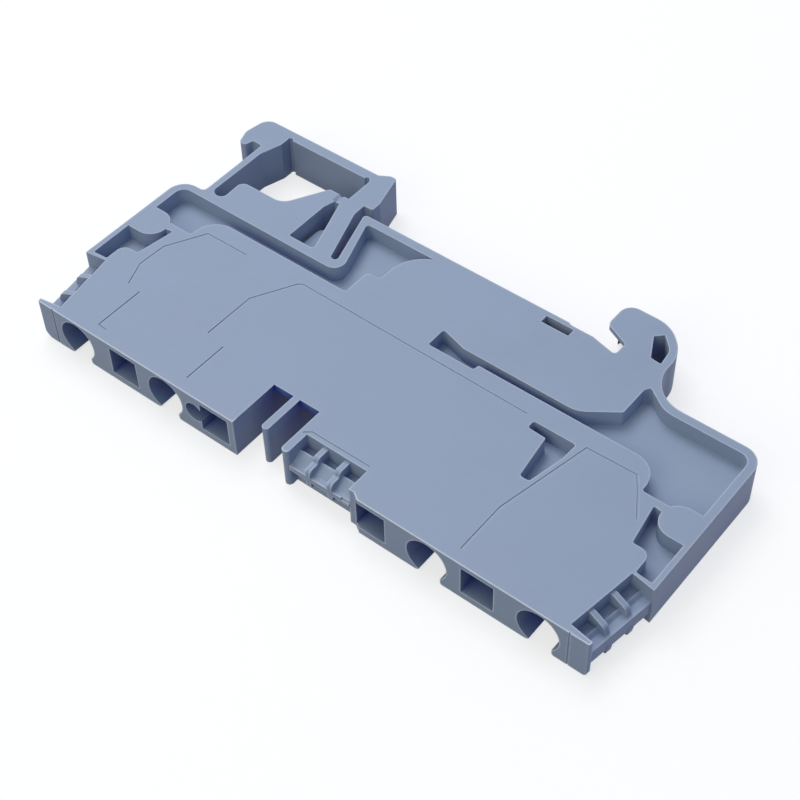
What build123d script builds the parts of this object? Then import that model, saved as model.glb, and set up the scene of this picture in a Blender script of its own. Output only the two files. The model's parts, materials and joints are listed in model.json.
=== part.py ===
from build123d import *
import os
from math import cos, radians, sin, tan

# Feed-through rail terminal block with four cage clamps, lying on its open side.
# X runs along the rail seat, Y from the wire entries to the rail foot, Z through the thickness.
# Heights along Y are measured from the entry edge, and the finished part is centred at the end.

# Housing as a whole, in millimetres
thickness = 5.2            # closed face to open side
wall = 1.0                 # rims, webs and the closed face over the hollows
recess_depth = 2.0         # recesses in the closed face
web_depth = 2.2            # pockets in the open side under the recesses
bar_cover = 1.4            # current bar to the step above the clamps
low_shoulder_rise = 2.7    # that step to the shoulder beside the sliding foot
seat_rise = 8.05           # low shoulder to the rail seat
shoulder_drop = 3.45       # rail seat down to the shoulder beside the hook
shoulder_radius = 2.2
end_margin = 5.55          # outer wire axis to the end of the entry edge
engraving = 0.08           # fine lines in the closed face
engraving_width = 0.16
seam_inset = 2.15          # mould seam from the ends of the entry edge
left_cap_radius = 1.2      # corners at the ends of the entry edge, on the open side
right_cap_radius = 0.5

# Rail and the foot that grips it
rail_width = 35.0
rail_play = 0.2
rail_lip = 1.05            # slot for the lip of the rail
rail_centre = 0.2          # middle of the rail along X
foot_rise = 6.1            # seat to the outer side of the foot
latch_tip_rise = 0.75      # tip of the latch above the foot
latch_nose = 1.2           # reach of the latch over the rail
latch_width = 2.15         # head of the latch beside the rail
latch_drop = 0.65          # seat down to where the latch arm starts to lean
hook_reach = 3.02          # reach of the fixed hook over the rail
hook_width = 8.4
hook_round = 4.4
hook_undercut = 0.95       # hollow behind the rail edge
nose_land = 0.6            # land on the inner side of the nose
nose_relief_angle = 36.5
arm_lean = 18.6            # degrees from upright
arm_width = 2.37
slit_width = 0.92
slit_flare = 0.25          # slit is this much wider at the seat
slit_depth = 7.7           # seat down to the end of the slit
arm_skin = 1.13            # wall between slit and recess
foot_inset = 3.45          # end face to the outer side of the foot
foot_arm_width = 0.8       # thin outer arm of the foot
foot_bar_width = 1.3
lug_reach = 3.3
lug_drop = 5.2
link_height = 1.25         # web that ties the foot to the body
link_rise = 0.9            # web above the seat
hinge_width = 0.8          # groove across that web
hinge_depth = 0.3
seat_block_radius = 4.8
gusset_reach = 4.7         # gusset in the root of the latch arm
gusset_gap = 0.55
gusset_radius = 1.0

# Marker grooves
groove_tilt = 9.0          # degrees that the end grooves lean inwards
end_groove_rise = 8.5      # entry edge to the top of the end grooves
end_groove_depth = 2.7
end_groove_crest = 1.55    # outer plane to the crest of the ramps
end_fin = 0.45             # tip of the fin under each end groove
mid_groove_start = -0.4
mid_groove_length = 7.7
mid_groove_depth = 3.35
mid_groove_crest = 2.25
mid_groove_setback = 0.55  # front of the wall on the right of the groove
mid_groove_land = 0.65
mid_groove_bevel = 0.85
groove_floor = 2.0         # closed face down to the groove floor
rib_width = 0.65
rib_drop = 0.38            # closed face down to the tops of the ribs
rib_count = 2

# Entries for wires, screwdrivers, bridges and the test pin
wire_radius = 2.4
wire_height = 2.5          # bore axis above the open side
wire_slot_near = 0.8       # gap in the bore towards the open side, left and right of the axis
wire_slot_far = 1.65
wire_lip_radius = 0.7      # left lip of that gap
wire_hook_radius = 0.3
wire_bore_length = 4.6
throat_radius = 1.55
throat_length = 2.0
driver_width = 3.8
driver_floor = 0.9
driver_roof = 0.6
inner_driver_x = 10.2
clamp_pitch = 13.0
driver_to_wire = 7.0
test_radius = 1.2
test_height = 2.8
test_offset = 2.83         # test hole axis from the driver axis beside it
test_depth = 5.0
test_passage = 1.2
bridge_width = 2.6
bridge_depth = 6.4         # open notch in front of each bridge shaft
bridge_gap = 0.88          # rib between the two bridge shafts
bridge_fin = 0.95          # rib between bridge shaft and marker groove
bridge_setback = 1.26      # round end of the rib below the entry edge
fin_setback = 0.3
bridge_over = 0.6          # shaft beyond the current bar

# Clamp chambers on the open side
chamber_floor = 8.6        # entry edge to the chambers
chamber_depth = 10.4       # chamber floor to the current bar
chamber_reach = 8.35       # driver axis to the outer chamber wall
stop_drop = 2.1            # current bar down to the stop for the wire end

# Current bar
bar_thickness = 0.8
bar_width = 3.7
bar_lift = 0.45            # bar above the open side
bar_fit = 0.05
tab_width = 2.1
tab_clearance = 0.3        # chamber floor to the ends of the tabs
lance_gap = 0.15
bar_bend = 0.9
wire_core = 1.0            # radius of the largest stranded wire
bridge_hole = 1.3

# Cage springs
spring_thickness = 0.45
spring_width = 3.6
spring_lift = 0.5
bow_reach = 1.0            # bow beyond the driver axis
bow_clearance = 0.85       # bow to the current bar
cage_rise = 1.75           # chamber floor to the centre of the crossing leg
cage_bar = 0.9             # closed end of the cage
cage_gap = 0.12
cage_neck = 1.25           # crossing leg to where the tabs and the leg narrow
spring_play = 0.25
post_radius = 1.0

# Worked out from the sizes above
bar_height = chamber_floor + chamber_depth
plateau_height = bar_height + bar_thickness + bar_cover
low_shoulder_height = plateau_height + low_shoulder_rise
seat_height = low_shoulder_height + seat_rise
shoulder_height = seat_height - shoulder_drop
foot_height = seat_height + foot_rise
depth = foot_height + latch_tip_rise
lean = tan(radians(arm_lean))
end_slope = tan(radians(groove_tilt))
outer_driver_x = inner_driver_x + clamp_pitch
entry_half_length = outer_driver_x + driver_to_wire + end_margin
body_half_length = entry_half_length + end_groove_rise * end_slope
rim_x = body_half_length - wall
latch_x = rail_centre - (rail_width + rail_play) / 2
hook_x = rail_centre + (rail_width + rail_play) / 2
foot_left = foot_inset - body_half_length
arm_top = seat_height - latch_drop
slit_end = seat_height - slit_depth
hollow_top = thickness - wall
tab_inner = driver_to_wire - wire_core - bar_thickness
tab_end = chamber_floor + tab_clearance
cage_height = chamber_floor + cage_rise
tab_neck = cage_height + cage_neck
bow_top = bar_height - bow_clearance
stop_height = bar_height - stop_drop
chamber_near = bow_reach + spring_play
fin_x = mid_groove_start - bridge_fin
bridge_x = [fin_x - bridge_width / 2, fin_x - bridge_gap - bridge_width * 1.5]
past = 1.0                 # how far cutters run past a face


def outline(*corners):
    """Flat face through (x, y, radius) corners, each turned by an arc of its radius."""
    points = [(x, y) for x, y, radius in corners]
    radii = [radius for x, y, radius in corners]
    return make_face(FilletPolyline(*points, radius=radii, close=True))


def prism(face, bottom, top):
    """A flat face stood up between two heights."""
    return Pos(0, 0, bottom) * extrude(face, amount=top - bottom, dir=(0, 0, 1))


def block(x_range, y_range, z_range):
    size = [high - low for low, high in (x_range, y_range, z_range)]
    corner = Pos(x_range[0], y_range[0], z_range[0])
    return corner * Box(*size, align=(Align.MIN, Align.MIN, Align.MIN))


def along_y(x, y, z):
    """Plane across Y, for bores that run in from the entry edge."""
    return Plane(origin=(x, y, z), x_dir=(1, 0, 0), z_dir=(0, 1, 0))


def bore(x, z, radius, start, end):
    return extrude(along_y(x, start, z) * Circle(radius), amount=end - start)


def other_side(shape):
    return mirror(shape, about=Plane.YZ)


def arm_x(height, offset):
    """X of a line along the leaning latch arm, given its offset from the near side of the slit."""
    return latch_x + offset + (arm_top - height) * lean


def body_outline():
    """Outer shape of the housing, from the entry edge round by the hook, the seat and the foot."""
    hook_left = hook_x - hook_reach
    right = hook_left + hook_width
    chamfer = hook_round * 0.66
    hook_side = foot_height - chamfer - shoulder_height
    lug_left = foot_left - lug_reach
    lug_end = foot_height - lug_drop
    end_x = body_half_length
    return outline(
        (-entry_half_length, 0, 0.15),
        (entry_half_length, 0, 0.15),
        (end_x, end_groove_rise, 0.2),
        (end_x, shoulder_height, shoulder_radius),
        (right, shoulder_height, hook_side * 0.64),
        (right, shoulder_height + hook_side, hook_round),
        (right - chamfer, foot_height, hook_round),
        (hook_left, foot_height, 1.5),
        (hook_left, seat_height + 2.3, 0.9),
        (hook_x, seat_height + 0.95, 0.15),
        (hook_x, seat_height - hook_undercut, 0.4),
        (hook_left - 0.2, seat_height - 0.2, 0.15),
        (hook_left - 2.9, seat_height - 0.2, 0),
        (hook_left - 3.4, seat_height, 0),
        (arm_x(seat_height, slit_width + slit_flare), seat_height, 0.4),
        (arm_x(slit_end, slit_width), slit_end, slit_width * 0.46),
        (arm_x(slit_end, 0), slit_end, slit_width * 0.46),
        (latch_x, arm_top, 1.5),
        (latch_x, seat_height + rail_lip, 0.05),
        (latch_x + latch_nose, seat_height + rail_lip, 0.3),
        (latch_x + latch_nose, seat_height + rail_lip + 1.4, 0.6),
        (latch_x + 0.05, depth, 0.3),
        (latch_x - 0.75, depth, 0.3),
        (latch_x - 2.05, foot_height, 0.2),
        (lug_left + 0.55, foot_height, 1.5),
        (lug_left, lug_end + 1.85, 1.2),
        (lug_left + 0.65, lug_end, 0.45),
        (lug_left + 1.55, lug_end, 0.35),
        (lug_left + 1.85, lug_end + 1.1, 0.3),
        (foot_left - 0.1, lug_end + 1.05, 0.3),
        (foot_left, low_shoulder_height, 0.6),
        (-end_x, low_shoulder_height, shoulder_radius),
        (-end_x, end_groove_rise, 0.2),
    )


def foot_window():
    """Large opening inside the sliding foot."""
    left = foot_left + foot_arm_width
    right = latch_x - latch_width
    top = foot_height - foot_bar_width
    link_top = seat_height + link_rise
    floor = low_shoulder_height + 0.35
    prong = latch_x - 4.9
    window = outline(
        (left, floor, 0.8),
        (left + 1.75, floor, 0.8),
        (left + 1.6, floor + 3.5, 0.9),
        (prong - 2.9, floor + 3.5, 2.0),
        (prong, link_top, 0.5),
        (right, link_top, 0.1),
        (right, top, 0.2),
        (left + 0.85, top, 0.3),
        (left + 0.85, top - 1.3, 0.5),
        (left, top - 4.0, 1.0),
    )
    nick = 0.33
    for x in (left + 1.15, right - 0.5):
        window += Pos(x, top) * Circle(nick)
    return window


def arm_window():
    """Three-cornered opening between the body and the latch arm."""
    floor = low_shoulder_height + 0.3
    top = seat_height + link_rise - link_height
    left = latch_x - 3.55
    return outline(
        (left, floor, 0.15),
        (arm_x(floor, -arm_width), floor, 0.35),
        (arm_x(top, -arm_width), top, 0.15),
        (left + 0.4, top, 0.15),
        (left, top - 1.4, 0.3),
    )


def arm_gusset():
    """Thin web at half height in the root of the latch arm, beside the three-cornered opening."""
    floor = low_shoulder_height + 0.3
    left = latch_x - 3.55 + gusset_gap
    return arm_window() & outline(
        (left, floor - past, 0),
        (latch_x, floor - past, 0),
        (latch_x, floor + gusset_reach, 0),
        (left, floor + gusset_reach, gusset_radius),
    )


def hinge_groove():
    """Groove across the web that ties the foot to the body, in its closed face."""
    top = seat_height + link_rise
    half = hinge_width / 2
    section = along_y(latch_x - 3.2, top - link_height, thickness)
    face = make_face(section * Polyline((-half, 0), (0, hinge_depth), (half, 0), close=True))
    return extrude(face, amount=link_height, dir=(0, 1, 0))


def nose_relief():
    """Wedge that leaves the inner side of the hook's nose a narrow land below the closed face."""
    tip = Vector(hook_x - hook_reach, seat_height + 2.3)
    root = Vector(hook_x, seat_height + 0.95)
    along = (root - tip).normalized()
    inward = Vector(-along.Y, along.X)
    land_z = thickness - nose_land
    section = Plane(origin=tip - along * past, x_dir=inward, z_dir=along)
    spread = (land_z + past) * tan(radians(nose_relief_angle))
    face = make_face(section * Polyline(
        (0, land_z), (spread, -past), (-past, -past), (-past, land_z), close=True))
    return extrude(face, amount=(root - tip).length + past, dir=along)


def boss():
    """Round land that parts the two recesses at each end."""
    centre_x, centre_y, radius = rim_x - 1.35, 16.55, 2.05
    land = Pos(centre_x, centre_y) * Circle(radius)
    return land + Pos((centre_x + rim_x) / 2 + wall / 4, centre_y) * Rectangle(
        rim_x - centre_x + wall / 2, 2 * radius)


def foot_recess():
    """Recess from the left end along the step and round the latch arm to the rail seat."""
    top = seat_height - 1.1
    channel_top = low_shoulder_height - 0.95
    skin = slit_width + arm_skin
    step_x = latch_x + 8.85
    notch_x = step_x - 1.75
    notch_y = plateau_height + 3.7
    arc_y = top - seat_block_radius + 0.45
    near_seat = step_x + seat_block_radius * 0.7
    recess = outline(
        (-rim_x, 17.65, 0),
        (6.3 - rim_x, 17.65, 0.3),
        (6.3 - rim_x, plateau_height, 2.9),
        (notch_x, plateau_height, 0.35),
        (notch_x, notch_y, 0.6),
        (step_x, notch_y, 0.5),
        (step_x, arc_y, 0),
        (near_seat, arc_y, 0),
        (near_seat, top, 0),
        (arm_x(top, skin), top, 0.35),
        (arm_x(channel_top, skin), channel_top, 1.4),
        (-rim_x, channel_top, 1.2),
    )
    seat_block = Pos(step_x + seat_block_radius, arc_y) * Circle(seat_block_radius)
    return recess - seat_block - other_side(boss())


def hook_recess():
    """Recess of the right shoulder, with the narrow channel that runs back along the step."""
    channel = 0.95
    neck = hook_x + 5.1
    top = shoulder_height - wall
    channel_left, pocket_right = 1.6, 7.55
    return outline(
        (rim_x, 17.65, 0),
        (rim_x, top, 1.2),
        (neck + 3.1, top, 3.4),
        (neck + 0.4, top + 1.85, 0.2),
        (neck, top + 1.2, 0.3),
        (neck, plateau_height + 3.7, 0.4),
        (neck - 3.8, plateau_height + channel, 3.2),
        (channel_left + 3.3, plateau_height + channel, 0.8),
        (channel_left + 0.3, plateau_height + 1.8, 0.2),
        (channel_left, plateau_height + 1.7, 0.1),
        (channel_left, plateau_height - 0.75, 0.2),
        (pocket_right - 0.1, plateau_height - 0.75, 0.25),
        (pocket_right, plateau_height, 0.25),
        (rim_x - 6.3, plateau_height, 2.9),
        (rim_x - 6.3, 17.65, 0.3),
    ) - boss()


def corner_pocket():
    """Recess between the round land and the end groove, on the right."""
    left = rim_x - 4.35
    return outline(
        (left, 16.75, 0.15),
        (left + 0.75, 11.9, 0.25),
        (left + 2.85, 11.9, 1.1),
        (left + 2.85, end_groove_rise + 0.75, 0.2),
        (rim_x + 0.35, end_groove_rise + 0.6, 0.2),
        (rim_x + 0.35, 16.0, 0),
    ) - boss()


def slanted_pocket():
    """Recess between the two right-hand clamps, as wide as the gap between their chambers."""
    near = inner_driver_x + chamber_reach
    far = outer_driver_x - chamber_near
    gap = far - near
    foot_radius = gap * 0.1
    return outline(
        (near - 2.1, stop_height + 1.6, 0.3),
        (far - 0.4, stop_height + 1.6, 0.3),
        (far - 0.5, stop_height - 0.6, 0.8),
        (near + gap * 0.58, 12.0, foot_radius),
        (near + gap * 0.25, 12.0, foot_radius),
        (near + gap * 0.04, stop_height + 0.5, 0.2),
        (near - 2.1, stop_height + 0.6, 0.3),
    )


def rail_window():
    """Slot through the wall under the rail seat."""
    return Pos(hook_x - 7.08, seat_height - 1.15) * Rectangle(3.45, 1.05)


def hook_window():
    """Five-sided opening through the fixed hook."""
    x, y = hook_x, seat_height
    return outline(
        (x + 1.78, y + 3.7, 0.1),
        (x + 2.61, y + 4.55, 0.1),
        (x + 4.22, y + 2.95, 1.6),
        (x + 4.47, y + 0.8, 0.15),
        (x + 3.2, y + 0.92, 0.15),
    )


def marker_groove(length, groove_depth, lip, lip_drop, crest, crest_drop, rib_front):
    """Cutter and filling of one marker groove, in its own frame.

    x runs along the groove, y into the housing and z down from the closed face at z = 0.
    The ramps rise from the lip to the crest, and ribs part them. The corners of a rib above
    the lip are in rib_front.
    """
    under = lip_drop + 0.3
    cutter = block((0, length), (-past, groove_depth), (-groove_floor, past))
    cutter += block((0, length), (-past, lip), (-thickness - past, past))
    cutter += block((0, length), (0, lip + 1.0), (-thickness - past, -under))
    ramp = make_face(Plane.YZ * Polyline(
        (lip, -lip_drop), (crest, -crest_drop), (crest, -groove_floor - past),
        (crest, -under), (lip, -under), close=True))
    filling = extrude(ramp, amount=length, dir=(1, 0, 0))
    rib_profile = Plane.YZ * outline(
        (groove_depth + wall / 2, -rib_drop, 0),
        *rib_front,
        (lip + 0.05, -under - 0.8, 0.2),
        (lip + 1.2, -under - 1.0, 0.2),
        (groove_depth + wall / 2, -groove_floor - 0.2, 0),
    )
    gap = (length - rib_count * rib_width) / (rib_count + 1)
    for index in range(rib_count):
        start = gap + index * (gap + rib_width)
        filling += Pos(start, 0, 0) * extrude(rib_profile, amount=rib_width, dir=(1, 0, 0))
    return cutter, filling


def end_groove_frame():
    """Frame of the right end groove: x up the end, y into the housing."""
    t = radians(groove_tilt)
    start = Vector(entry_half_length + end_fin * sin(t), end_fin * cos(t), thickness)
    return Plane(origin=start, x_dir=(sin(t), cos(t), 0), z_dir=(0, 0, 1)).location


def mid_groove_front():
    """Cutter that sets back the wall on the right of the middle groove."""
    start = mid_groove_start + mid_groove_length
    front = outline(
        (start - past, -past, 0),
        (start - past, mid_groove_setback, 0),
        (start + mid_groove_land, mid_groove_setback, 0.2),
        (start + mid_groove_land + mid_groove_bevel, 0, 0.2),
        (start + mid_groove_land + mid_groove_bevel + past, -past, 0))
    return prism(front, -past, thickness + past)


def cut_marker_grooves(body):
    """Middle groove in the entry edge and one groove at each end."""
    end_length = end_groove_rise / cos(radians(groove_tilt)) - end_fin
    place = Pos(mid_groove_start, 0, thickness)
    low = rib_drop + 0.6
    mid_rib = [(mid_groove_crest - 0.45, -rib_drop, 0.45), (mid_groove_crest - 0.65, -low, 0.1),
               (0.3, -low - 0.1, 0.5)]
    cutter, filling = marker_groove(
        mid_groove_length, mid_groove_depth, 0.4, 2.4, mid_groove_crest, 1.2, mid_rib)
    body = body - mid_groove_front() - place * cutter + place * filling
    end_rib = [(end_groove_depth - 0.3, -rib_drop, 0.4), (0.75, -low, 0.6), (0.05, -3.6, 0.3)]
    cutter, filling = marker_groove(
        end_length, end_groove_depth, 0.15, 3.4, end_groove_crest, 1.4, end_rib)
    cutter, filling = end_groove_frame() * cutter, end_groove_frame() * filling
    body = body - cutter + filling
    return body - other_side(cutter) + other_side(filling)


def wire_entry(driver_x):
    """Round bore with its throat into the chamber."""
    x = driver_x + driver_to_wire
    throat_end = wire_bore_length + throat_length
    cone = Cone(wire_radius, throat_radius, throat_length, align=(Align.CENTER, Align.CENTER, Align.MIN))
    entry = bore(x, wire_height, wire_radius, -past, wire_bore_length)
    entry += along_y(x, wire_bore_length, wire_height).location * cone
    return entry + bore(x, wire_height, throat_radius, throat_end, chamber_floor + past)


def wire_slot(x):
    """Gap that opens a wire bore towards the open side, between two rounded lips."""
    near, far = wire_slot_near, wire_slot_far
    gap = make_face(Plane(origin=(x, -past, 0), x_dir=(1, 0, 0), z_dir=(0, -1, 0)) * FilletPolyline(
        (far, wire_height), (far, 0), (far + past, 0), (far + past, -past),
        (-near - past, -past), (-near - past, 0), (-near, 0), (-near, wire_height),
        radius=[0, wire_hook_radius, 0, 0, 0, 0, wire_lip_radius, 0], close=True))
    return extrude(gap, amount=wire_bore_length + past, dir=(0, 1, 0))


def end_cap_rounding(side, radius):
    """Cutter that rounds the open-side corner at one end of the entry edge."""
    x = side * (entry_half_length - radius)
    reach = radius + past
    corner = Pos(x + side * reach / 2, radius - reach / 2) * Rectangle(reach, reach)
    section = Plane(origin=(0, -past, 0), x_dir=(1, 0, 0), z_dir=(0, -1, 0))
    face = section * (corner - Pos(x, radius) * Circle(radius))
    return extrude(face, amount=end_fin + 2 * past, dir=(0, 1, 0))


def driver_shaft(driver_x):
    half = driver_width / 2
    return block((driver_x - half, driver_x + half), (-past, chamber_floor + past),
                 (driver_floor, thickness - driver_roof))


def clamp_chamber(driver_x):
    """Room for one cage spring, its tab and the wire end, open below."""
    left = driver_x - chamber_near
    tab_outer = driver_x + tab_inner + bar_thickness + bar_fit
    right = driver_x + chamber_reach
    face = outline(
        (left, chamber_floor, 0.8),
        (right, chamber_floor, 0.6),
        (right, stop_height, 0.5),
        (tab_outer, stop_height, 0),
        (tab_outer, bar_height + bar_fit, 0),
        (left, bar_height + bar_fit, 2.8),
    )
    post_x = driver_x + (tab_inner - bow_reach) / 2
    post = Pos(post_x, (bow_top + cage_height) / 2) * Circle(post_radius)
    return prism(face, -past, hollow_top) - prism(post, spring_lift, hollow_top + past)


def bar_slot():
    """Slot that holds the current bar along the tops of the chambers."""
    end = outer_driver_x + tab_inner + bar_thickness + bar_fit
    y_range = (bar_height - bar_fit, bar_height + bar_thickness + bar_fit)
    return block((-end, end), y_range, (-past, hollow_top))


def rib_end(x_range, setback):
    """Cutter that shortens a thin rib at the entry edge and rounds its end."""
    radius = (x_range[1] - x_range[0]) / 2
    centre_x, centre_y = x_range[0] + radius, setback + radius
    strip = Pos(centre_x, (centre_y - past) / 2) * Rectangle(2 * radius, centre_y + past)
    return prism(strip - Pos(centre_x, centre_y) * Circle(radius), -past, thickness + past)


def bridge_shafts():
    """Two shafts for plug-in bridges: open notches in front, covered further in."""
    shafts = Part()
    for x in bridge_x:
        sides = (x - bridge_width / 2, x + bridge_width / 2)
        shafts += block(sides, (-past, bridge_depth), (-past, thickness + past))
        top = bar_height + bar_thickness + bridge_over
        shafts += block(sides, (bridge_depth - past, top), (-past, hollow_top))
    rib = (fin_x - bridge_width - bridge_gap, fin_x - bridge_width)
    return shafts + rib_end(rib, bridge_setback) + rib_end((fin_x, mid_groove_start), fin_setback)


def test_entry():
    """Hole for a test pin, with a passage into the driver shaft beside it."""
    x = -inner_driver_x - test_offset
    hole = bore(x, test_height, test_radius, -past, test_depth)
    passage = block((x, -inner_driver_x), (-past, test_depth / 2),
                    (test_height - test_passage / 2, test_height + test_passage / 2))
    return hole + passage


def open_pockets():
    """Hollows in the open side that keep every wall thin."""
    seat_top = seat_height - 1.35
    left, right = latch_x + 9.7, hook_x + 4.1
    seat_pocket = outline(
        (left, low_shoulder_height, 0.5),
        (right - 2.6, low_shoulder_height, 0.5),
        (right, low_shoulder_height + 1.8, 0.5),
        (right, seat_top - 0.9, 0.5),
        (hook_x - 1.8, seat_top - 0.9, 0.5),
        (hook_x - 3.8, seat_top, 0.5),
        (left, seat_top, seat_block_radius),
    )
    pockets = prism(seat_pocket, -past, hollow_top)
    rib_step = (right - left) / 3
    for index in (1, 2):
        x = left + index * rib_step
        pockets -= block((x - wall / 2, x + wall / 2), (0, seat_height), (-past, hollow_top))
    prong = (foot_left + 3.5, latch_x - 4.55)
    prong_pocket = outline(
        (prong[0], low_shoulder_height, 0.5), (prong[1], low_shoulder_height, 0.5),
        (prong[1], low_shoulder_height + 2.85, 0.5), (prong[0], low_shoulder_height + 2.85, 0.5))
    groove_end = mid_groove_start + mid_groove_length
    middle = outline(
        (mid_groove_start, mid_groove_depth + wall, 0.5), (groove_end, mid_groove_depth + wall, 0.5),
        (groove_end, bar_height - wall, 0.5), (mid_groove_start, bar_height - wall, 0.5))
    return pockets + prism(prong_pocket, -past, hollow_top) + prism(middle, -past, hollow_top)


def engraved_lines():
    """Fine lines that follow the clamps on the closed face, and the mould seams in the entry face."""
    inner_wire, outer_wire = inner_driver_x + driver_to_wire, outer_driver_x + driver_to_wire
    top = bar_height + 0.25
    lines = [
        [(0.36 - outer_wire, 7.87), (-0.8 - outer_wire, 10.9), (-0.65 - outer_wire, 14.4),
         (1.85 - outer_wire, top - 0.35), (7.57 - outer_wire, top - 0.3)],
        [(2.25 - outer_wire, 7.66), (2.25 - outer_wire, 1.5), (3.45 - outer_wire, 1.4)],
        [(-0.65 - inner_wire, 7.63), (-0.6 - inner_wire, 14.15), (2.1 - inner_wire, top - 0.3),
         (2.6 - inner_wire, top), (inner_wire - 1.85, top - 0.35)],
        [(2.0 - inner_wire, 1.6), (2.0 - inner_wire, 7.1)],
        [(outer_driver_x - 3.0, 1.5), (outer_driver_x - 3.0, 7.72), (outer_driver_x - 0.6, top - 0.4),
         (outer_driver_x + 5.15, top - 0.25), (outer_driver_x + 6.25, top - 1.75),
         (outer_driver_x + 8.15, 14.4)],
        [(mid_groove_start - 0.5, mid_groove_depth), (mid_groove_start + 0.2, mid_groove_depth + 0.55),
         (mid_groove_start + mid_groove_length - 0.1, mid_groove_depth + 0.6)],
    ]
    cutters = Part()
    for line in lines:
        cutters += prism(trace(Polyline(*line), engraving_width), thickness - engraving, thickness + past)
    for x in (seam_inset - entry_half_length, entry_half_length - seam_inset):
        half = engraving_width / 2
        cutters += block((x - half, x + half), (-past, engraving), (-past, thickness + past))
    return cutters


def housing():
    """One moulding: plate with recesses above, chambers below, grooves, foot and hook."""
    body = prism(body_outline(), 0, thickness)
    for window in (foot_window(), arm_window(), rail_window(), hook_window()):
        body -= prism(window, -past, thickness + past)
    body += prism(arm_gusset(), web_depth, thickness - recess_depth)
    corner = corner_pocket()
    for face in (foot_recess(), hook_recess(), corner, other_side(corner), slanted_pocket()):
        body -= prism(face, thickness - recess_depth, thickness + past)
        body -= prism(face, -past, web_depth)
    body = cut_marker_grooves(body) - nose_relief() - hinge_groove()
    for driver_x in (inner_driver_x, outer_driver_x):
        clamp_room = wire_entry(driver_x) + driver_shaft(driver_x) + clamp_chamber(driver_x)
        body = body - clamp_room - other_side(clamp_room)
        wire_x = driver_x + driver_to_wire
        body = body - wire_slot(wire_x) - wire_slot(-wire_x)
    body = body - end_cap_rounding(-1, left_cap_radius) - end_cap_rounding(1, right_cap_radius)
    return body - bar_slot() - bridge_shafts() - test_entry() - open_pockets() - engraved_lines()


def current_bar():
    """Bent copper strip with a tab for each clamp and two holes for bridges."""
    z_range = (bar_lift, bar_lift + bar_width)
    middle = bar_lift + bar_width / 2
    tongue_z = (middle - tab_width / 2, middle + tab_width / 2)
    end = outer_driver_x + tab_inner + bar_thickness / 2
    line = FilletPolyline(
        (-end, tab_end), (-end, bar_height + bar_thickness / 2), (end, bar_height + bar_thickness / 2),
        (end, tab_end), radius=bar_bend)
    bar = prism(trace(line, bar_thickness), *z_range)
    for side in (-1, 1):
        tab = sorted((side * (end - bar_thickness), side * (end + bar_thickness)))
        for low, high in ((z_range[0] - past, tongue_z[0]), (tongue_z[1], z_range[1] + past)):
            bar -= block(tab, (tab_end - past, tab_neck), (low, high))
    inner = inner_driver_x + tab_inner
    tongue_length = bar_height - tab_end
    for side in (-1, 1):
        lance = sorted((side * (inner + bar_thickness), side * (inner + bar_thickness + tongue_length)))
        bar -= block(lance, (bar_height - past, bar_height + bar_thickness + past),
                     (tongue_z[0] - lance_gap, tongue_z[1] + lance_gap))
        tongue = sorted((side * inner, side * (inner + bar_thickness)))
        bar += block(tongue, (tab_end, bar_height + bar_thickness), tongue_z)
    for x in bridge_x:
        bar -= block((x - bridge_hole / 2, x + bridge_hole / 2),
                     (bar_height - past, bar_height + bar_thickness + past), tongue_z)
    return bar


def clamp_spring(driver_x):
    """Steel strip bent into a bow, whose crossing leg is a cage round the tab and the wire."""
    half = spring_thickness / 2
    back = driver_x + tab_inner - half
    bow = driver_x - bow_reach + half
    cage_end = driver_x + tab_inner + bar_thickness + cage_gap + cage_bar
    line = FilletPolyline(
        (back, tab_neck), (back, bow_top - half), (bow, bow_top - half), (bow, cage_height),
        (cage_end, cage_height), radius=[1.5, 2.6, 2.6])
    middle = spring_lift + spring_width / 2
    strip = prism(trace(line, spring_thickness), spring_lift, spring_lift + spring_width)
    tongue_z = (middle - tab_width / 2, middle + tab_width / 2)
    strip -= block((back - half - cage_gap, cage_end - cage_bar), (cage_height - past, cage_height + past),
                   (tongue_z[0] - cage_gap, tongue_z[1] + cage_gap))
    return strip + block((back - half, back + half), (tab_end + spring_play, tab_neck), tongue_z)


def all_parts():
    parts = {"housing": housing(), "current_bar": current_bar()}
    for name, driver_x in (("inner", inner_driver_x), ("outer", outer_driver_x)):
        parts["clamp_spring_right_" + name] = clamp_spring(driver_x)
        parts["clamp_spring_left_" + name] = other_side(clamp_spring(driver_x))
    return {name: Pos(0, -depth / 2, 0) * part for name, part in parts.items()}


os.makedirs("parts", exist_ok=True)
for node, solid in all_parts().items():
    export_step(solid, "parts/" + node + ".step")
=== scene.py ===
import json
from math import copysign, radians

import bpy
from bpy.props import FloatProperty, FloatVectorProperty, PointerProperty
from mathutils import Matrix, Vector


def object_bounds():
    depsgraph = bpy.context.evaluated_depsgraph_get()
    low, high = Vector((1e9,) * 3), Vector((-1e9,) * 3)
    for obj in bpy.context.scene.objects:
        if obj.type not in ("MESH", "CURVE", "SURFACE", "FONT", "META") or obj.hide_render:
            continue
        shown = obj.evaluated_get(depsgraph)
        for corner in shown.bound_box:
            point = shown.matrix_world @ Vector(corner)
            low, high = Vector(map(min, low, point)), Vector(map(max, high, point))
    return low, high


bl_info = {
    "name": "Rail Terminal Block",
    "version": (1, 0, 0),
    "blender": (4, 5, 0),
    "location": "3D View > Sidebar > Terminal",
    "description": "Moulded housing, current bar, cage springs and studio for a rail terminal block",
    "category": "Object",
}

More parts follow.
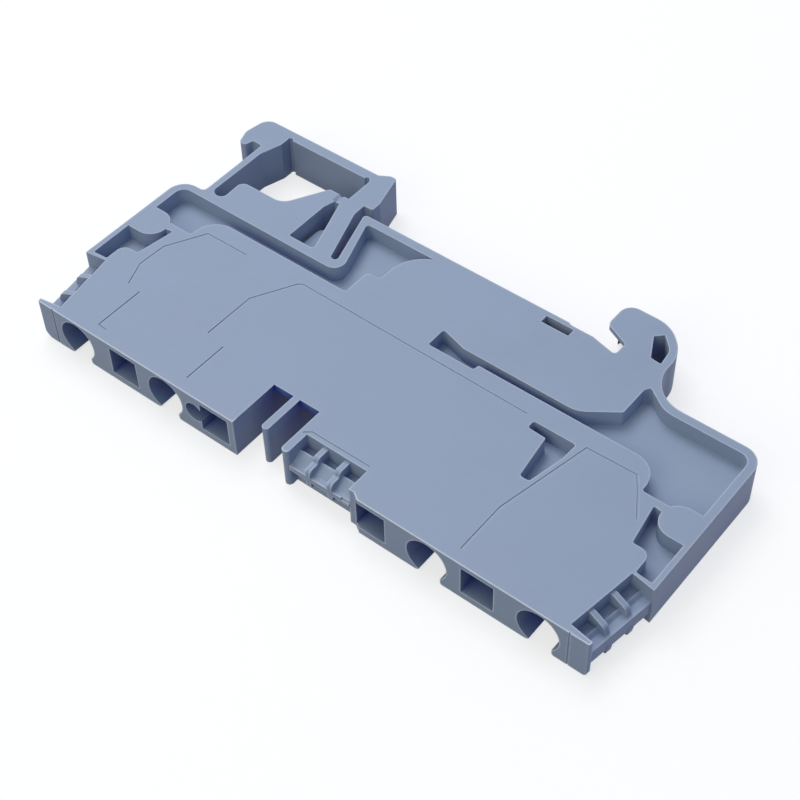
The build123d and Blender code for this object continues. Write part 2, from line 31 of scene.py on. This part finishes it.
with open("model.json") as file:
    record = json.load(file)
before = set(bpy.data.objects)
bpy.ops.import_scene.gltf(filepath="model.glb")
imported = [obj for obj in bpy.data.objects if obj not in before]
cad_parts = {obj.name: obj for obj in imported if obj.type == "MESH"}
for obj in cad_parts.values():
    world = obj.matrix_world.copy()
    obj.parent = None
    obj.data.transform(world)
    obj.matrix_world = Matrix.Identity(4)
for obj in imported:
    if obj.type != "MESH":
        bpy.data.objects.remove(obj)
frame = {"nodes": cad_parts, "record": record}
cad_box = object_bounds()

MM = 0.001
HOUSING = "housing"
BAR = "current_bar"
SPRINGS = tuple(name for name in frame["nodes"] if name.startswith("clamp_spring"))

# The edge where the wires go in, and how far in from it the openings are told apart
ENTRY_EDGE = cad_box[0][1]
ENTRY_DEPTH = 10.0 * MM

# Where the openings lie along that edge, from the record's mounts: wire bores, the driver shaft beside
# each on the inner side, the test hole and the pair of bridge slots. Each reach goes to both sides.
MOUNT_X = {mount["name"]: mount["pos_m"][0] for mount in frame["record"]["mounts"]}
WIRE_X = [x for name, x in MOUNT_X.items() if name.startswith("wire_entry")]
WIRE_REACH = 2.6 * MM
DRIVER_TO_WIRE = 7.0 * MM
DRIVER_X = [x - copysign(DRIVER_TO_WIRE, x) for x in WIRE_X]
DRIVER_REACH = 2.2 * MM
TEST_REACH = 1.5 * MM
SLOTS_REACH = 3.2 * MM

# Openness runs from 0 far down a shaft to 1 on an outer face. Painted shade, a dark blue, starts at the
# first openness here, is full at the second, and then covers the skin by the third number. Wire bores and
# driver shafts run far in between thin walls, so their painted shade starts early; it also stands in for
# the blue light that those walls let through.
PAINTED_SHADE_TONES = {
    "hollow": (0.16, 0.04, 0.75),
    "shaft": (0.48, 0.10, 0.9),
    "bore": (0.66, 0.10, 1.0),
    "slot": (0.90, 0.50, 1.0),
}
# Depths from the entry edge at which the painted shade in the bridge slots starts and is darkest, and the
# share of the hollows' painted-shade colour that it takes
SLOT_SHADE_DEPTHS = (2.4 * MM, 6.2 * MM)
SLOT_SHADE = 0.9

# Cosine of the turn at which the painted highlight along edges starts and is full, the openness that
# makes an edge an outer one, and the depths from the entry edge between which that painted highlight
# grows to full strength
EDGE_TURN = (0.99, 0.88)
EDGE_OPENNESS = (0.55, 0.8)
ENTRY_HIGHLIGHT = (0.8 * MM, 0.4 * MM)
# Rays that measure openness and round an edge, for each look at a point
RAY_SAMPLES = 8

# Shades of the plastic in its clouds, and of the tin and the paper where they are dull
CLOUD_DARK = 0.95
CLOUD_LIGHT = 1.04
TARNISH_SHADE = 0.86
FIBRE_SHADE = 0.95

# The strips run in the plane of the block, so the streaks of the rolls are drawn out in that plane
STREAK_STRETCH = (0.12, 0.12, 1.0)
STREAK_ROUGHNESS = 0.14
STREAK_HEIGHT = 0.004 * MM

# The backdrop is just short of 1, which is white. The window light starts and is full where a direction
# points towards the hook's end by these shares of its length.
WHITE = (1.0, 1.0, 1.0, 1.0)
BACKDROP_WHITE = 0.95
WINDOW_EDGE = (-0.1, 0.7)

# Floor, lamps and camera, in metres and degrees
FLOOR_HALF = 1.5
FLOOR_GAP = 0.02 * MM
CENTRE = (0.0, 0.0, 0.0)
KEY_PLACE = (-0.20, 0.10, 0.42)
KEY_SIZE = 0.30
FILL_PLACE = (-0.02, -0.36, 0.26)
FILL_SIZE = 0.25
CAMERA_PLACE = (0.0753, -0.0919, 0.1304)
CAMERA_TURN = (41.53, 1.21, 38.57)
SENSOR_WIDTH_MM = 36.0
CLIP_START = 10.0 * MM


def linear(hex_colour):
    """Turns an sRGB hex colour into linear red, green and blue."""
    channels = (int(hex_colour[i:i + 2], 16) / 255 for i in (1, 3, 5))
    return tuple(c / 12.92 if c <= 0.04045 else ((c + 0.055) / 1.055) ** 2.4 for c in channels)


def rgba(colour):
    """The colour with full opacity, as a socket takes it."""
    return (*colour, 1.0)


def add_node(tree, kind, inputs=(), **settings):
    """Adds a node with its settings. An input is a value, a socket, or a node with one output in use."""
    made = tree.nodes.new(kind)
    for name, value in settings.items():
        setattr(made, name, value)
    for key, value in dict(inputs).items():
        if isinstance(value, bpy.types.Node):
            value = next(socket for socket in value.outputs if socket.enabled)
        if isinstance(value, bpy.types.NodeSocket):
            tree.links.new(value, made.inputs[key])
        else:
            made.inputs[key].default_value = value
    return made


def new_material(name):
    """An empty node material, ready for its shader."""
    material = bpy.data.materials.new(name)
    material.use_nodes = True
    material.node_tree.nodes.clear()
    return material, material.node_tree


def per_metre(size):
    """Texture scale that makes one feature of this size in metres."""
    return 1.0 / size


def dress(names, material):
    """Gives the CAD nodes of these names a material of their own."""
    for name in names:
        for slot in frame["nodes"][name].material_slots:
            slot.link = "OBJECT"
            slot.material = material


class MouldedPlastic(bpy.types.PropertyGroup):
    """Housing plastic"""
    colour: FloatVectorProperty(
        name="Colour", description="Pigment of the polyamide", subtype="COLOR", min=0.0, max=1.0,
        default=linear("#96A4BE"))
    painted_shade_colour: FloatVectorProperty(
        # Painted shade: a dark blue that bores, shafts and other hollows take for their shade and for
        # light through their thin walls
        name="Deep colour", description="Tone in bores and shafts, where light comes through the plastic",
        subtype="COLOR", min=0.0, max=1.0, default=linear("#3450A8"))
    # Painted highlight: a pale line that outer edges take for the light on their rounding
    painted_highlight_colour: FloatVectorProperty(
        name="Edge colour", description="Tone along outer edges, where the skin is thin and polished",
        subtype="COLOR", min=0.0, max=1.0, default=linear("#DCE4F2"))
    cloud: FloatProperty(
        name="Clouds", description="Width of the clouds that the melt front leaves", unit="LENGTH",
        default=7.0 * MM)
    fine_cloud: FloatProperty(
        name="Fine clouds", description="Width of the finer clouds inside them", unit="LENGTH",
        default=0.9 * MM)
    grain: FloatProperty(
        name="Grain", description="Width of the spark-eroded grain of the mould", unit="LENGTH",
        default=0.30 * MM)
    grain_height: FloatProperty(
        name="Grain height", description="Height of that grain", unit="LENGTH", default=0.006 * MM)
    edge_radius: FloatProperty(
        name="Edge radius", description="Rounding of every moulded edge", unit="LENGTH",
        default=0.12 * MM)
    # Reach of that painted highlight, and its strength away from the entry edge, where it is full
    painted_highlight_reach: FloatProperty(
        name="Edge line", description="Reach of the pale line along outer edges", unit="LENGTH",
        default=0.34 * MM)
    painted_highlight_strength: FloatProperty(
        name="Edge strength", description="Strength of that line away from the parting line",
        subtype="FACTOR", min=0.0, max=1.0, default=0.42)
    # Reach of the rays that find the hollows which get the painted shade
    shaft_depth: FloatProperty(
        name="Shaft depth", description="Depth of the hollows that take the deep colour", unit="LENGTH",
        default=8.0 * MM)
    roughness: FloatProperty(
        name="Roughness", description="Roughness of the moulded skin", subtype="FACTOR", min=0.0,
        max=1.0, default=0.46)
    sheen: FloatProperty(
        name="Sheen", description="Strength of reflections; the grain halves the usual 0.5",
        subtype="FACTOR", min=0.0, max=1.0, default=0.25)


class StripMetal(bpy.types.PropertyGroup):
    """Metal strip of the bar and the springs"""
    tin: FloatVectorProperty(
        name="Tin", description="Plating of the current bar", subtype="COLOR", min=0.0, max=1.0,
        default=linear("#CFCCC4"))
    copper: FloatVectorProperty(
        name="Copper", description="Sheared edges of the current bar", subtype="COLOR", min=0.0, max=1.0,
        default=linear("#C58A66"))
    steel: FloatVectorProperty(
        name="Spring steel", description="Cage springs", subtype="COLOR", min=0.0, max=1.0,
        default=linear("#B4B6B8"))
    streak: FloatProperty(
        name="Rolling streaks", description="Width of the streaks left by the rolls", unit="LENGTH",
        default=0.25 * MM)
    tarnish: FloatProperty(
        name="Tarnish", description="Width of the dull patches", unit="LENGTH", default=4.0 * MM)
    tin_roughness: FloatProperty(
        name="Tin roughness", description="Roughness of the plated bar between its streaks",
        subtype="FACTOR", min=0.0, max=1.0, default=0.24)
    steel_roughness: FloatProperty(
        name="Steel roughness", description="Roughness of the springs between their streaks",
        subtype="FACTOR", min=0.0, max=1.0, default=0.16)


class Studio(bpy.types.PropertyGroup):
    """Floor, lamps and camera"""
    floor: FloatVectorProperty(
        name="Floor", description="Colour of the studio floor as the camera sees it, under its glow",
        subtype="COLOR", min=0.0, max=1.0, default=linear("#A2A2A4"))
    glow: FloatProperty(
        name="Floor glow", description="Light of its own that the floor shows to the camera", min=0.0,
        default=0.70)
    bounce: FloatVectorProperty(
        name="Bounce", description="Colour of the light that the floor throws back", subtype="COLOR",
        min=0.0, max=1.0, default=linear("#5E688A"))
    fibre: FloatProperty(
        name="Paper fibres", description="Width of the fibres in the floor's paper", unit="LENGTH",
        default=1.2 * MM)
    key_power: FloatProperty(
        name="Key lamp", description="Power of the large lamp above, on the left", unit="POWER",
        default=1.08)
    key_colour: FloatVectorProperty(
        name="Key colour", description="Colour of that lamp", subtype="COLOR", min=0.0, max=1.0,
        default=(0.94, 0.96, 1.0))
    fill_power: FloatProperty(
        name="Fill lamp", description="Power of the lamp in front of the wire entries", unit="POWER",
        default=0.44)
    fill_colour: FloatVectorProperty(
        name="Fill colour", description="Colour of that lamp", subtype="COLOR", min=0.0, max=1.0,
        default=(1.0, 0.98, 0.62))
    ambient: FloatProperty(
        name="Ambient", description="Strength of the light from all round", min=0.0, default=0.42)
    ambient_colour: FloatVectorProperty(
        name="Ambient colour", description="Colour of the light from all round", subtype="COLOR",
        min=0.0, max=1.0, default=(0.92, 0.96, 1.0))
    window: FloatVectorProperty(
        name="Window", description="Colour of the light from the hook's end", subtype="COLOR",
        min=0.0, max=1.0, default=(0.56, 0.68, 1.0))
    lens: FloatProperty(
        name="Lens", description="Focal length in millimetres on a 36 mm sensor", min=1.0,
        default=74.37)


class TERMINAL_OT_housing(bpy.types.Operator):
    """Dress the housing in moulded polyamide"""
    bl_idname = "terminal.housing"
    bl_label = "Moulded Housing"

    def execute(self, context):
        look = context.scene.terminal_plastic
        # Polyamide 6.6, injection moulded in a spark-eroded steel tool: an even satin skin with a fine
        # grain, slightly cloudy where the melt flowed, with painted shade in dark blue in bores and
        # shafts, and a painted highlight as a fine pale line along outer edges
        material, tree = new_material("Polyamide 66, moulded")
        place = add_node(tree, "ShaderNodeTexCoord").outputs["Object"]

        # The melt front leaves clouds of several millimetres, with finer ones inside them
        cloud = add_node(tree, "ShaderNodeTexNoise", {
            "Vector": place, "Scale": per_metre(look.cloud), "Detail": 3.0})
        cloud = add_node(tree, "ShaderNodeMapRange", {
            "Value": cloud, "From Min": 0.3, "From Max": 0.7, "To Min": 0.15, "To Max": 0.85})
        fine_cloud = add_node(tree, "ShaderNodeTexNoise", {
            "Vector": place, "Scale": per_metre(look.fine_cloud), "Detail": 2.0})
        fine_cloud = add_node(tree, "ShaderNodeMapRange", {
            "Value": fine_cloud, "From Min": 0.35, "From Max": 0.75, "To Min": 0.0, "To Max": 0.35})
        darker = rgba(c * CLOUD_DARK for c in look.colour)
        lighter = rgba(min(1.0, c * CLOUD_LIGHT) for c in look.colour)
        skin = add_node(tree, "ShaderNodeMix", {"Factor": cloud, 6: darker, 7: lighter},
                        data_type="RGBA")
        skin = add_node(tree, "ShaderNodeMix", {"Factor": fine_cloud, 6: skin, 7: lighter},
                        data_type="RGBA")

        open_sky = add_node(tree, "ShaderNodeAmbientOcclusion", {"Distance": look.shaft_depth},
                            samples=RAY_SAMPLES, only_local=True)
        openness = open_sky.outputs["AO"]
        shade_tones = {}
        for opening, (start, full, cover) in PAINTED_SHADE_TONES.items():
            shade_tones[opening] = add_node(tree, "ShaderNodeMapRange", {
                "Value": openness, "From Min": start, "From Max": full, "To Min": 0.0, "To Max": cover})

        # Painted shade: every narrow hollow is a little darker and bluer, and the openings of the entry
        # edge much more
        axes = add_node(tree, "ShaderNodeSeparateXYZ", {0: place}).outputs
        near_entry = add_node(tree, "ShaderNodeMath", {0: axes["Y"], 1: ENTRY_EDGE, 2: ENTRY_DEPTH},
                              operation="COMPARE")
        openings = [(x, DRIVER_REACH, shade_tones["shaft"]) for x in DRIVER_X]
        openings += [(x, WIRE_REACH, shade_tones["bore"]) for x in WIRE_X]
        openings.append((MOUNT_X["test_entry"], TEST_REACH, shade_tones["shaft"]))
        painted_shade = shade_tones["hollow"]
        for middle, reach, tone in openings:
            inside = add_node(tree, "ShaderNodeMath", {0: axes["X"], 1: middle, 2: reach},
                              operation="COMPARE")
            for factor in (near_entry, tone):
                inside = add_node(tree, "ShaderNodeMath", {0: inside, 1: factor}, operation="MULTIPLY")
            painted_shade = add_node(tree, "ShaderNodeMath", {0: painted_shade, 1: inside}, operation="MAXIMUM")
        skin = add_node(tree, "ShaderNodeMix", {"Factor": painted_shade, 6: skin, 7: rgba(look.painted_shade_colour)},
                        data_type="RGBA")

        # Painted shade: the bridge slots are narrow and are painted darker towards their far end
        slot = add_node(tree, "ShaderNodeMath", {
            0: axes["X"], 1: MOUNT_X["bridge_slots"], 2: SLOTS_REACH}, operation="COMPARE")
        far_in = add_node(tree, "ShaderNodeMapRange", {
            "Value": axes["Y"], "From Min": ENTRY_EDGE + SLOT_SHADE_DEPTHS[0],
            "From Max": ENTRY_EDGE + SLOT_SHADE_DEPTHS[1], "To Min": 0.0, "To Max": 1.0})
        for factor in (near_entry, far_in, shade_tones["slot"]):
            slot = add_node(tree, "ShaderNodeMath", {0: slot, 1: factor}, operation="MULTIPLY")
        slot_shade_colour = rgba(c * SLOT_SHADE for c in look.painted_shade_colour)
        skin = add_node(tree, "ShaderNodeMix", {"Factor": slot, 6: skin, 7: slot_shade_colour},
                        data_type="RGBA")

        # Painted highlight along outer edges. An outer edge is where the rounded surface turns away from
        # the flat one, out in the open
        wide = add_node(tree, "ShaderNodeBevel", {"Radius": look.painted_highlight_reach}, samples=RAY_SAMPLES)
        flat = add_node(tree, "ShaderNodeNewGeometry").outputs["Normal"]
        turn = add_node(tree, "ShaderNodeVectorMath", {0: wide, 1: flat}, operation="DOT_PRODUCT")
        edge = add_node(tree, "ShaderNodeMapRange", {
            "Value": turn.outputs["Value"], "From Min": EDGE_TURN[0], "From Max": EDGE_TURN[1],
            "To Min": 0.0, "To Max": 1.0})
        outer = add_node(tree, "ShaderNodeMapRange", {
            "Value": openness, "From Min": EDGE_OPENNESS[0], "From Max": EDGE_OPENNESS[1],
            "To Min": 0.0, "To Max": 1.0})
        # The painted highlight is brightest along the entry edge, which faces the fill lamp
        entry_highlight = add_node(tree, "ShaderNodeMapRange", {
            "Value": axes["Y"], "From Min": ENTRY_EDGE + ENTRY_HIGHLIGHT[0],
            "From Max": ENTRY_EDGE + ENTRY_HIGHLIGHT[1], "To Min": look.painted_highlight_strength, "To Max": 1.0})
        for factor in (outer, entry_highlight):
            edge = add_node(tree, "ShaderNodeMath", {0: edge, 1: factor}, operation="MULTIPLY")
        skin = add_node(tree, "ShaderNodeMix", {"Factor": edge, 6: skin, 7: rgba(look.painted_highlight_colour)},
                        data_type="RGBA")

        # Spark-erosion grain is about 0.03 mm wide, and drawn ten times as coarse so that it shows
        rounded = add_node(tree, "ShaderNodeBevel", {"Radius": look.edge_radius}, samples=RAY_SAMPLES)
        grain = add_node(tree, "ShaderNodeTexNoise", {
            "Vector": place, "Scale": per_metre(look.grain), "Detail": 3.0, "Roughness": 0.6})
        relief = add_node(tree, "ShaderNodeBump", {
            "Height": grain, "Distance": look.grain_height, "Strength": 0.6, "Normal": rounded})
        rough = add_node(tree, "ShaderNodeMapRange", {
            "Value": cloud, "To Min": look.roughness - 0.04, "To Max": look.roughness + 0.05})
        shader = add_node(tree, "ShaderNodeBsdfPrincipled", {
            "Base Color": skin, "Roughness": rough, "IOR": 1.53, "Specular IOR Level": look.sheen,
            "Normal": relief})
        add_node(tree, "ShaderNodeOutputMaterial", {"Surface": shader})
        dress([HOUSING], material)
        return {"FINISHED"}


def strip_surface(tree, look, colour, low_roughness):
    """Rolled metal strip: fine streaks along its length, faint tarnish and a soft satin sheen."""
    place = add_node(tree, "ShaderNodeTexCoord").outputs["Object"]
    stretched = add_node(tree, "ShaderNodeVectorMath", {0: place, 1: STREAK_STRETCH},
                         operation="MULTIPLY")
    streaks = add_node(tree, "ShaderNodeTexNoise", {
        "Vector": stretched, "Scale": per_metre(look.streak), "Detail": 3.0})
    tarnish = add_node(tree, "ShaderNodeTexNoise", {
        "Vector": place, "Scale": per_metre(look.tarnish), "Detail": 2.0})
    tarnish = add_node(tree, "ShaderNodeMapRange", {
        "Value": tarnish, "From Min": 0.35, "From Max": 0.7, "To Min": 0.0, "To Max": 0.7})
    dull = rgba(c * TARNISH_SHADE for c in colour)
    tone = add_node(tree, "ShaderNodeMix", {"Factor": tarnish, 6: rgba(colour), 7: dull},
                    data_type="RGBA")
    rough = add_node(tree, "ShaderNodeMapRange", {
        "Value": streaks, "From Min": 0.3, "From Max": 0.7, "To Min": low_roughness,
        "To Max": low_roughness + STREAK_ROUGHNESS})
    relief = add_node(tree, "ShaderNodeBump", {
        "Height": streaks, "Distance": STREAK_HEIGHT, "Strength": 0.5})
    return tone, rough, relief


class TERMINAL_OT_current_bar(bpy.types.Operator):
    """Dress the current bar in tin-plated copper"""
    bl_idname = "terminal.current_bar"
    bl_label = "Current Bar"

    def execute(self, context):
        look = context.scene.terminal_metal
        # Electrolytic copper strip, tin plated and then stamped: pale grey satin faces, with warm
        # copper showing where the strip was sheared, which is on the faces up and down in this frame
        material, tree = new_material("Copper strip, tin plated")
        tone, rough, relief = strip_surface(tree, look, look.tin, look.tin_roughness)
        facing = add_node(tree, "ShaderNodeNewGeometry").outputs["Normal"]
        upright = add_node(tree, "ShaderNodeSeparateXYZ", {0: facing}).outputs["Z"]
        sheared = add_node(tree, "ShaderNodeMath", {0: upright}, operation="ABSOLUTE")
        sheared = add_node(tree, "ShaderNodeMapRange", {
            "Value": sheared, "From Min": 0.7, "From Max": 0.95, "To Min": 0.0, "To Max": 0.4})
        tone = add_node(tree, "ShaderNodeMix", {"Factor": sheared, 6: tone, 7: rgba(look.copper)},
                        data_type="RGBA")
        shader = add_node(tree, "ShaderNodeBsdfPrincipled", {
            "Base Color": tone, "Metallic": 1.0, "Roughness": rough, "Normal": relief})
        add_node(tree, "ShaderNodeOutputMaterial", {"Surface": shader})
        dress([BAR], material)
        return {"FINISHED"}


class TERMINAL_OT_cage_springs(bpy.types.Operator):
    """Dress the cage springs in rolled spring steel"""
    bl_idname = "terminal.cage_springs"
    bl_label = "Cage Springs"

    def execute(self, context):
        look = context.scene.terminal_metal
        # Stainless spring steel, cold rolled and bent: smoother than the bar and with a sharper
        # glint, with the same fine streaks along the strip
        material, tree = new_material("Spring steel, cold rolled")
        tone, rough, relief = strip_surface(tree, look, look.steel, look.steel_roughness)
        shader = add_node(tree, "ShaderNodeBsdfPrincipled", {
            "Base Color": tone, "Metallic": 1.0, "Roughness": rough, "Normal": relief})
        add_node(tree, "ShaderNodeOutputMaterial", {"Surface": shader})
        dress(SPRINGS, material)
        return {"FINISHED"}


def seen_directly(tree):
    """1 for what the camera sees, straight, in a reflection or through glass, and 0 for other light."""
    rays = add_node(tree, "ShaderNodeLightPath").outputs
    seen = rays["Is Camera Ray"]
    for way in ("Is Glossy Ray", "Is Transmission Ray"):
        seen = add_node(tree, "ShaderNodeMath", {0: seen, 1: rays[way]}, operation="MAXIMUM")
    return seen


def add_lamp(name, place, size, power, colour):
    """A square area lamp at a place, turned towards the block."""
    lamp = bpy.data.lights.new(name, "AREA")
    lamp.energy = power
    lamp.size = size
    lamp.color = colour
    piece = bpy.data.objects.new(name, lamp)
    piece.location = place
    piece.rotation_euler = (Vector(CENTRE) - Vector(place)).to_track_quat("-Z", "Y").to_euler()
    bpy.context.scene.collection.objects.link(piece)
    return piece


class TERMINAL_OT_stage(bpy.types.Operator):
    """Set the floor, the lamps and the camera"""
    bl_idname = "terminal.stage"
    bl_label = "Stage"

    def execute(self, context):
        look = context.scene.terminal_studio
        floor_mesh = bpy.data.meshes.new("floor")
        corners = [(x * FLOOR_HALF, y * FLOOR_HALF, 0) for x, y in ((-1, -1), (1, -1), (1, 1), (-1, 1))]
        floor_mesh.from_pydata(corners, [], [(0, 1, 2, 3)])
        floor = bpy.data.objects.new("floor", floor_mesh)
        floor.location.z = cad_box[0][2] - FLOOR_GAP
        context.scene.collection.objects.link(floor)
        # Studio paper, matt: a mid grey that a glow of its own lifts to white for the camera, so that
        # only a soft shadow shows on it, with fibres of about a millimetre
        material, tree = new_material("Studio paper")
        place = add_node(tree, "ShaderNodeTexCoord").outputs["Object"]
        fibres = add_node(tree, "ShaderNodeTexNoise", {"Vector": place, "Scale": per_metre(look.fibre)})
        fibres = add_node(tree, "ShaderNodeMapRange", {
            "Value": fibres, "From Min": 0.3, "From Max": 0.7, "To Min": 0.0, "To Max": 0.5})
        fibre_colour = rgba(c * FIBRE_SHADE for c in look.floor)
        tone = add_node(tree, "ShaderNodeMix", {"Factor": fibres, 6: rgba(look.floor), 7: fibre_colour},
                        data_type="RGBA")
        paper = add_node(tree, "ShaderNodeBsdfDiffuse", {"Color": tone})
        glow = add_node(tree, "ShaderNodeEmission", {"Color": WHITE, "Strength": look.glow})
        shown = add_node(tree, "ShaderNodeAddShader", {0: paper, 1: glow})
        bounce = add_node(tree, "ShaderNodeBsdfDiffuse", {"Color": rgba(look.bounce)})
        floor_look = add_node(tree, "ShaderNodeMixShader", {0: seen_directly(tree), 1: bounce, 2: shown})
        add_node(tree, "ShaderNodeOutputMaterial", {"Surface": floor_look})
        floor_mesh.materials.append(material)

        world = bpy.data.worlds.new("studio")
        world.use_nodes = True
        tree = world.node_tree
        tree.nodes.clear()
        # Cool window light from the hook's end, nearly neutral from the rest, and a white backdrop
        way = add_node(tree, "ShaderNodeTexCoord").outputs["Generated"]
        towards_hook = add_node(tree, "ShaderNodeSeparateXYZ", {0: way}).outputs["X"]
        cool = add_node(tree, "ShaderNodeMapRange", {
            "Value": towards_hook, "From Min": WINDOW_EDGE[0], "From Max": WINDOW_EDGE[1],
            "To Min": 0.0, "To Max": 1.0})
        light = add_node(tree, "ShaderNodeMix", {
            "Factor": cool, 6: rgba(look.ambient_colour), 7: rgba(look.window)}, data_type="RGBA")
        soft = add_node(tree, "ShaderNodeBackground", {"Color": light, "Strength": look.ambient})
        white = add_node(tree, "ShaderNodeBackground", {"Color": WHITE, "Strength": BACKDROP_WHITE})
        shown = add_node(tree, "ShaderNodeMixShader", {0: seen_directly(tree), 1: soft, 2: white})
        add_node(tree, "ShaderNodeOutputWorld", {"Surface": shown})
        context.scene.world = world

        add_lamp("key lamp", KEY_PLACE, KEY_SIZE, look.key_power, look.key_colour)
        fill = add_lamp("fill lamp", FILL_PLACE, FILL_SIZE, look.fill_power, look.fill_colour)
        # Its warm light would show as a brown glint in the slots
        fill.visible_glossy = False

        lens = bpy.data.cameras.new("camera")
        lens.lens = look.lens
        lens.sensor_width = SENSOR_WIDTH_MM
        lens.clip_start = CLIP_START
        camera = bpy.data.objects.new("camera", lens)
        camera.location = CAMERA_PLACE
        camera.rotation_euler = [radians(turn) for turn in CAMERA_TURN]
        context.scene.collection.objects.link(camera)
        context.scene.camera = camera
        context.scene.view_settings.view_transform = "Standard"
        return {"FINISHED"}


class TERMINAL_PT_panel(bpy.types.Panel):
    """Makers and settings of the terminal block"""
    bl_label = "Terminal Block"
    bl_idname = "TERMINAL_PT_panel"
    bl_space_type = "VIEW_3D"
    bl_region_type = "UI"
    bl_category = "Terminal"

    def draw(self, context):
        for group, operators in GROUPS.items():
            box = self.layout.box()
            settings = getattr(context.scene, group)
            for name in settings.bl_rna.properties.keys():
                if name not in ("rna_type", "name"):
                    box.prop(settings, name)
            for operator in operators:
                box.operator(operator)


GROUPS = {
    "terminal_plastic": ("terminal.housing",),
    "terminal_metal": ("terminal.current_bar", "terminal.cage_springs"),
    "terminal_studio": ("terminal.stage",),
}
CLASSES = (
    MouldedPlastic, StripMetal, Studio, TERMINAL_OT_housing, TERMINAL_OT_current_bar,
    TERMINAL_OT_cage_springs, TERMINAL_OT_stage, TERMINAL_PT_panel,
)


def register():
    for cls in CLASSES:
        bpy.utils.register_class(cls)
    bpy.types.Scene.terminal_plastic = PointerProperty(type=MouldedPlastic)
    bpy.types.Scene.terminal_metal = PointerProperty(type=StripMetal)
    bpy.types.Scene.terminal_studio = PointerProperty(type=Studio)


def unregister():
    for group in GROUPS:
        delattr(bpy.types.Scene, group)
    for cls in reversed(CLASSES):
        bpy.utils.unregister_class(cls)


def main():
    register()
    bpy.ops.terminal.housing()
    bpy.ops.terminal.current_bar()
    bpy.ops.terminal.cage_springs()
    bpy.ops.terminal.stage()


if __name__ == "__main__":
    main()
